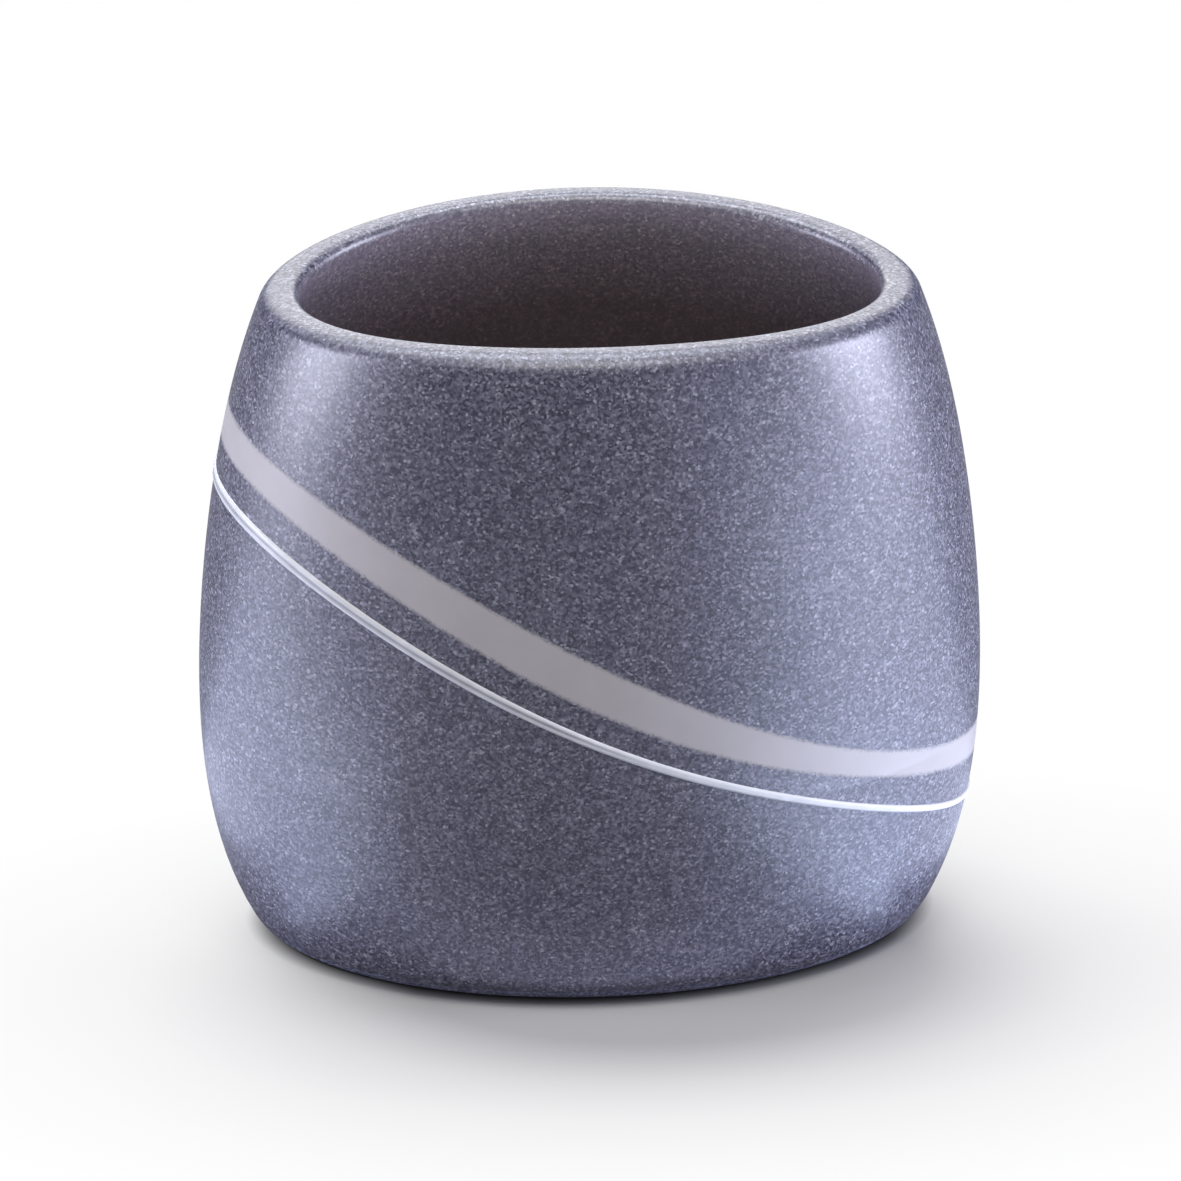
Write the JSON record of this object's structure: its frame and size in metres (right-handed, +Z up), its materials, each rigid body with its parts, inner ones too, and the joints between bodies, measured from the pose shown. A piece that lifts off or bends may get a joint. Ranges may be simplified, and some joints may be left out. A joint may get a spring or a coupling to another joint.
{
  "type": "bathroom tumbler",
  "caption": "Oval cast-stone bathroom tumbler, barrel shaped, with an arched rim, slanting light stripes let into its side and a non-slip pad under the base.",
  "frame": {"origin": "on the table plane, under the middle of the tumbler", "axes": "+X along the width towards the stripes' lower end, +Y along the depth away from the viewer, +Z up out of the mouth"},
  "size_m": [0.1102, 0.0714, 0.0989],
  "materials": {
    "speckled_casting": "satin cast resin filled with fine quartz sand",
    "warm_grey_inlay": "smooth satin resin",
    "white_inlay": "glossy resin bead",
    "pad_rubber": "matte foam rubber"
  },
  "bodies": {
    "root": {"tumbler_body": "speckled_casting", "broad_band_inlay": "warm_grey_inlay", "fine_line_inlay": "white_inlay", "base_pad": "pad_rubber"}
  },
  "joints": []
}
